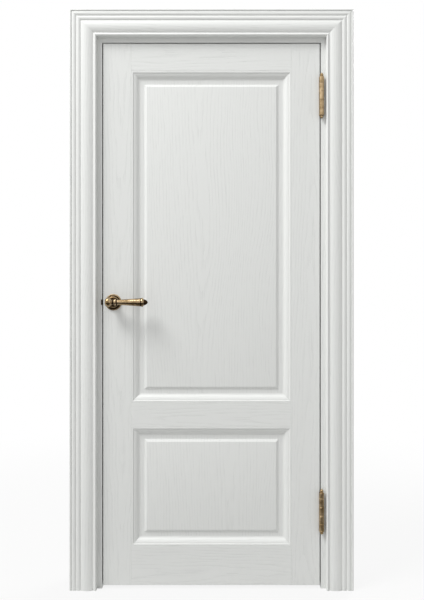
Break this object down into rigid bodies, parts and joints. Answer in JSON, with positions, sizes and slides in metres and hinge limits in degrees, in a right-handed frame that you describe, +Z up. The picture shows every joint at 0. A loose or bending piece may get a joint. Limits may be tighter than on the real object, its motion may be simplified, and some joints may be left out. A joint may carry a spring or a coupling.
{
  "type": "interior door",
  "caption": "Panelled interior door leaf in its rebated frame with moulded casings, hung on finial hinges and opened by a turned lever.",
  "frame": {"origin": "bottom centre of the closed door with its frame: centre of the width, centre of the depth over both levers and casings, and the finished floor", "axes": "+Z up, +X toward the hinges, -Y toward the side the leaf opens to"},
  "size_m": [1.043, 0.186, 2.1335],
  "materials": {
    "white_lacquer": "satin white lacquer over embossed ash grain",
    "antique_brass": "darkened antique brass, rubbed bright on the crests",
    "steel": "zinc plated",
    "seal_rubber": "pale matt rubber",
    "beech": "raw beech"
  },
  "bodies": {
    "frame": {"hinge_jamb": "white_lacquer", "lock_jamb": "white_lacquer", "head_jamb": "white_lacquer", "hinge_stop": "white_lacquer", "lock_stop": "white_lacquer", "head_stop": "white_lacquer", "hinge_seal": "seal_rubber", "lock_seal": "seal_rubber", "head_seal": "seal_rubber", "front_casing_hinge": "white_lacquer", "front_casing_head": "white_lacquer", "front_casing_lock": "white_lacquer", "back_casing_hinge": "white_lacquer", "back_casing_head": "white_lacquer", "back_casing_lock": "white_lacquer", "frame_corner_screws": "steel", "hinge_jamb_plates": "antique_brass", "hinge_pins": "antique_brass", "hinge_finials": "antique_brass", "hinge_jamb_screws": "antique_brass", "strike_plate": "antique_brass", "strike_screws": "antique_brass"},
    "leaf": {"hinge_stile": "white_lacquer", "lock_stile": "white_lacquer", "top_rail": "white_lacquer", "middle_rail": "white_lacquer", "bottom_rail": "white_lacquer", "rail_dowels": "beech", "upper_panel": "white_lacquer", "lower_panel": "white_lacquer", "upper_front_moulding_uprights": "white_lacquer", "upper_front_moulding_crossbars": "white_lacquer", "upper_back_moulding_uprights": "white_lacquer", "upper_back_moulding_crossbars": "white_lacquer", "lower_front_moulding_uprights": "white_lacquer", "lower_front_moulding_crossbars": "white_lacquer", "lower_back_moulding_uprights": "white_lacquer", "lower_back_moulding_crossbars": "white_lacquer", "hinge_leaf_plates": "antique_brass", "hinge_leaf_screws": "antique_brass", "latch_case": "steel", "latch_screws": "antique_brass", "front_rose": "antique_brass", "back_rose": "antique_brass", "front_rose_plate": "steel", "back_rose_plate": "steel", "rose_screws": "steel"},
    "lever": {"front_lever": "antique_brass", "back_lever": "antique_brass", "spindle": "steel", "latch_follower": "steel", "set_screws": "steel"},
    "latch_bolt": {"latch_bolt": "steel"}
  },
  "joints": [
    {"name": "leaf_swing", "type": "hinge", "parent": "frame", "child": "leaf", "pos_m": [0.4055, -0.041, 1], "axis": [0, 0, 1], "range_deg": [0, 170]},
    {"name": "lever_turn", "type": "hinge", "parent": "leaf", "child": "lever", "pos_m": [-0.362, -0.011, 1.057], "axis": [0, 1, 0], "range_deg": [0, 40], "stiffness_Nm_per_rad": 1, "springref_deg": -34.38},
    {"name": "bolt_slide", "type": "slide", "parent": "leaf", "child": "latch_bolt", "axis": [1, 0, 0], "range_m": [0, 0.006]}
  ],
  "couplings": [
    {"joint": "bolt_slide", "follows": "lever_turn", "m_per_rad": 0.008594}
  ]
}
